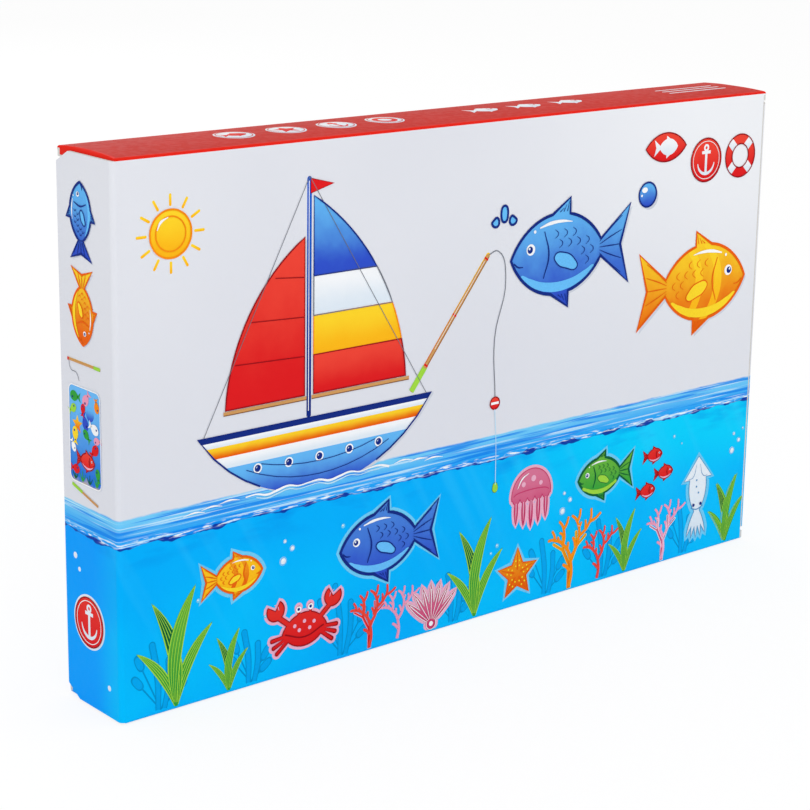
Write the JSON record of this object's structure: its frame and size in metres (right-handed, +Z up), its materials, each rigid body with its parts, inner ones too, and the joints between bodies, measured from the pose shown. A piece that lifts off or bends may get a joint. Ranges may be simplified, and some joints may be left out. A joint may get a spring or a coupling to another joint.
{
  "type": "printed toy carton",
  "caption": "Flat oblong printed card carton that stands on its long narrow side, folded from one sheet, with a hinged tuck-in closure at each end.",
  "frame": {"origin": "middle of the base panel, on its underside", "axes": "+X along the carton from its left end to its right end, seen from the front; -Y out of the front panel; +Z up"},
  "size_m": [0.3904, 0.0443, 0.241],
  "materials": {
    "board": "matt",
    "sky_ink": "satin",
    "sea_ink": "satin",
    "shallows_ink": "satin",
    "blue_ink": "satin",
    "orange_ink": "satin",
    "yellow_ink": "satin",
    "red_ink": "satin",
    "green_ink": "satin",
    "pink_ink": "satin",
    "white_ink": "satin",
    "navy_ink": "satin",
    "top_red_ink": "satin"
  },
  "bodies": {
    "carton": {"carton": "board", "sky_print": "sky_ink", "sea_print": "sea_ink", "shallows_print": "shallows_ink", "top_print": "top_red_ink", "blue_print": "blue_ink", "orange_print": "orange_ink", "yellow_print": "yellow_ink", "red_print": "red_ink", "green_print": "green_ink", "pink_print": "pink_ink", "white_print": "white_ink", "navy_print": "navy_ink"},
    "left_closure": {"left_closure": "board", "left_sky_print": "sky_ink", "left_sea_print": "sea_ink", "left_shallows_print": "shallows_ink", "left_blue_print": "blue_ink", "left_orange_print": "orange_ink", "left_red_print": "red_ink", "left_white_print": "white_ink"},
    "right_closure": {"right_closure": "board", "right_sky_print": "sky_ink", "right_sea_print": "sea_ink", "right_shallows_print": "shallows_ink", "right_blue_print": "blue_ink", "right_orange_print": "orange_ink", "right_red_print": "red_ink", "right_white_print": "white_ink"}
  },
  "joints": [
    {"name": "left_closure_fold", "type": "hinge", "parent": "carton", "child": "left_closure", "pos_m": [-0.1928, -0.0198, 0.12], "axis": [0, 0, 1], "range_deg": [0, 135]},
    {"name": "right_closure_fold", "type": "hinge", "parent": "carton", "child": "right_closure", "pos_m": [0.1928, 0.0198, 0.12], "axis": [0, 0, 1], "range_deg": [0, 135]}
  ]
}
